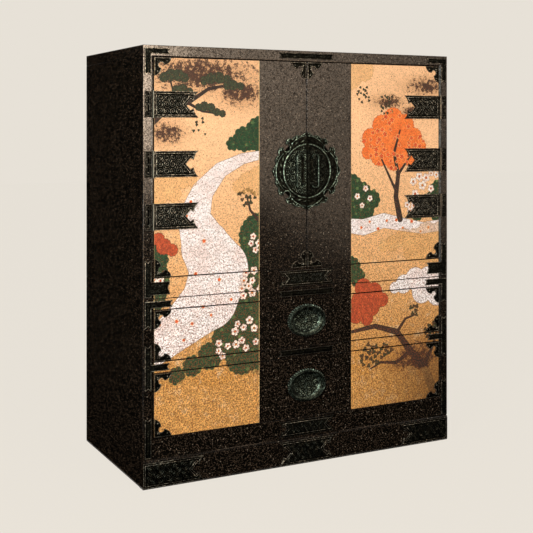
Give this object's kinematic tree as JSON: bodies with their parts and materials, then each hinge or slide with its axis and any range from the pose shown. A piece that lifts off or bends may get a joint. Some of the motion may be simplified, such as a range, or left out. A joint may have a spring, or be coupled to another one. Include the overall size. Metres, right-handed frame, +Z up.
{
  "type": "storage chest",
  "caption": "Stacking lacquered storage chest with hinged doors above and sliding drawers below, on a plinth, with iron strap hinges, a round lock plate and ring pulls.",
  "frame": {"origin": "on the floor under the middle of the chest's box, pulls included", "axes": "+Z up, -Y out of the doors and drawers, +X to the right of someone who faces the doors"},
  "size_m": [0.91, 0.4624, 1.08],
  "materials": {
    "black_lacquer": "black lacquer, satin",
    "paulownia_wood": "planed, unfinished",
    "blackened_iron": "blackened and lacquered wrought iron"
  },
  "bodies": {
    "carcass": {"upper_left_side": "black_lacquer", "upper_right_side": "black_lacquer", "upper_top": "black_lacquer", "upper_sill": "black_lacquer", "upper_floor": "paulownia_wood", "upper_back": "black_lacquer", "shelf_1": "paulownia_wood", "shelf_2": "paulownia_wood", "lower_left_side": "black_lacquer", "lower_right_side": "black_lacquer", "lower_top": "black_lacquer", "middle_rail": "black_lacquer", "dust_board": "paulownia_wood", "bottom_rail": "black_lacquer", "lower_floor": "paulownia_wood", "lower_back": "black_lacquer", "base_front": "black_lacquer", "base_back": "black_lacquer", "base_left": "black_lacquer", "base_right": "black_lacquer", "left_top_hinge_leaf": "blackened_iron", "left_middle_hinge_leaf": "blackened_iron", "left_bottom_hinge_leaf": "blackened_iron", "right_top_hinge_leaf": "blackened_iron", "right_middle_hinge_leaf": "blackened_iron", "right_bottom_hinge_leaf": "blackened_iron", "left_top_hinge_pin": "blackened_iron", "left_middle_hinge_pin": "blackened_iron", "left_bottom_hinge_pin": "blackened_iron", "right_top_hinge_pin": "blackened_iron", "right_middle_hinge_pin": "blackened_iron", "right_bottom_hinge_pin": "blackened_iron"},
    "left_door_leaf": {"left_door": "black_lacquer", "left_lock_plate": "blackened_iron", "left_bail_seat": "blackened_iron", "left_top_hinge_strap": "blackened_iron", "left_middle_hinge_strap": "blackened_iron", "left_bottom_hinge_strap": "blackened_iron"},
    "right_door_leaf": {"right_door": "black_lacquer", "right_lock_plate": "blackened_iron", "right_bail_seat": "blackened_iron", "right_top_hinge_strap": "blackened_iron", "right_middle_hinge_strap": "blackened_iron", "right_bottom_hinge_strap": "blackened_iron"},
    "left_bail_pull": {"left_bail": "blackened_iron"},
    "right_bail_pull": {"right_bail": "blackened_iron"},
    "upper_drawer": {"upper_drawer_front": "black_lacquer", "upper_drawer_left_side": "paulownia_wood", "upper_drawer_right_side": "paulownia_wood", "upper_drawer_back": "paulownia_wood", "upper_drawer_bottom": "paulownia_wood", "upper_pull_pan": "blackened_iron"},
    "lower_drawer": {"lower_drawer_front": "black_lacquer", "lower_drawer_left_side": "paulownia_wood", "lower_drawer_right_side": "paulownia_wood", "lower_drawer_back": "paulownia_wood", "lower_drawer_bottom": "paulownia_wood", "lower_pull_pan": "blackened_iron"},
    "upper_ring": {"upper_pull_ring": "blackened_iron"},
    "lower_ring": {"lower_pull_ring": "blackened_iron"}
  },
  "joints": [
    {"name": "left_door_hinge", "type": "hinge", "parent": "carcass", "child": "left_door_leaf", "pos_m": [-0.43, -0.22225, 0.782], "axis": [0, 0, -1], "range_deg": [0, 170]},
    {"name": "right_door_hinge", "type": "hinge", "parent": "carcass", "child": "right_door_leaf", "pos_m": [0.43, -0.22225, 0.782], "axis": [0, 0, 1], "range_deg": [0, 170]},
    {"name": "left_bail_pivot", "type": "hinge", "parent": "left_door_leaf", "child": "left_bail_pull", "pos_m": [-0.014, -0.22635, 0.7655], "axis": [0, 0, 1], "range_deg": [0, 90]},
    {"name": "right_bail_pivot", "type": "hinge", "parent": "right_door_leaf", "child": "right_bail_pull", "pos_m": [0.014, -0.22635, 0.7655], "axis": [0, 0, -1], "range_deg": [0, 90]},
    {"name": "upper_drawer_slide", "type": "slide", "parent": "carcass", "child": "upper_drawer", "axis": [0, -1, 0], "range_m": [0, 0.3]},
    {"name": "lower_drawer_slide", "type": "slide", "parent": "carcass", "child": "lower_drawer", "axis": [0, -1, 0], "range_m": [0, 0.3]},
    {"name": "upper_ring_pivot", "type": "hinge", "parent": "upper_drawer", "child": "upper_ring", "pos_m": [0, -0.22485, 0.4105], "axis": [-1, 0, 0], "range_deg": [0, 90]},
    {"name": "lower_ring_pivot", "type": "hinge", "parent": "lower_drawer", "child": "lower_ring", "pos_m": [0, -0.22485, 0.241], "axis": [-1, 0, 0], "range_deg": [0, 90]}
  ]
}
